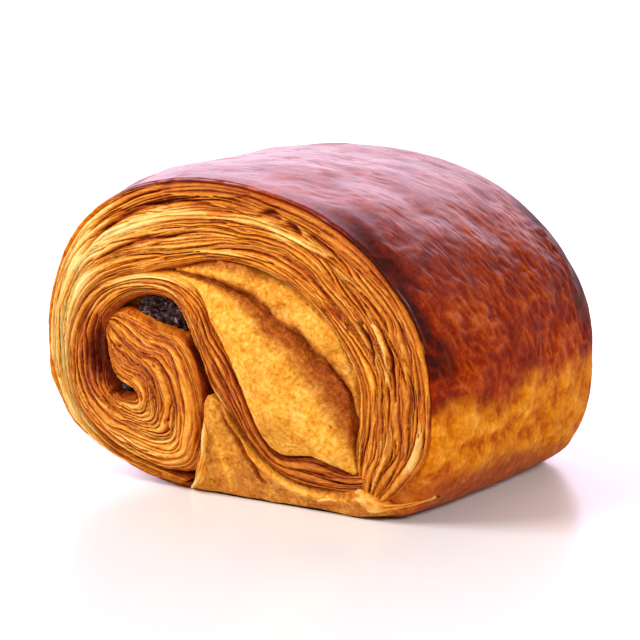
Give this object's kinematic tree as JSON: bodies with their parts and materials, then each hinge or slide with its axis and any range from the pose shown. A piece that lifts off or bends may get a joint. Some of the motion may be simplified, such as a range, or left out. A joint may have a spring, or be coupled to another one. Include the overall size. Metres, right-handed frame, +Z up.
{
  "type": "pain au chocolat",
  "caption": "Baked laminated-dough roll with dark chocolate sticks showing at its ends, lying on its flat base.",
  "frame": {"origin": "middle of the footprint, on the surface the roll rests on", "axes": "+Z up, Y along the roll's axis with the shown end facing -Y, +X towards the side where the dough's tail is tucked under"},
  "size_m": [0.0927, 0.09, 0.0642],
  "materials": {
    "dough": "baked, glazed crust",
    "chocolate": "dull dark chocolate"
  },
  "bodies": {
    "root": {"dough": "dough", "chocolate_stick_upper": "chocolate", "chocolate_stick_inner": "chocolate"}
  },
  "joints": []
}
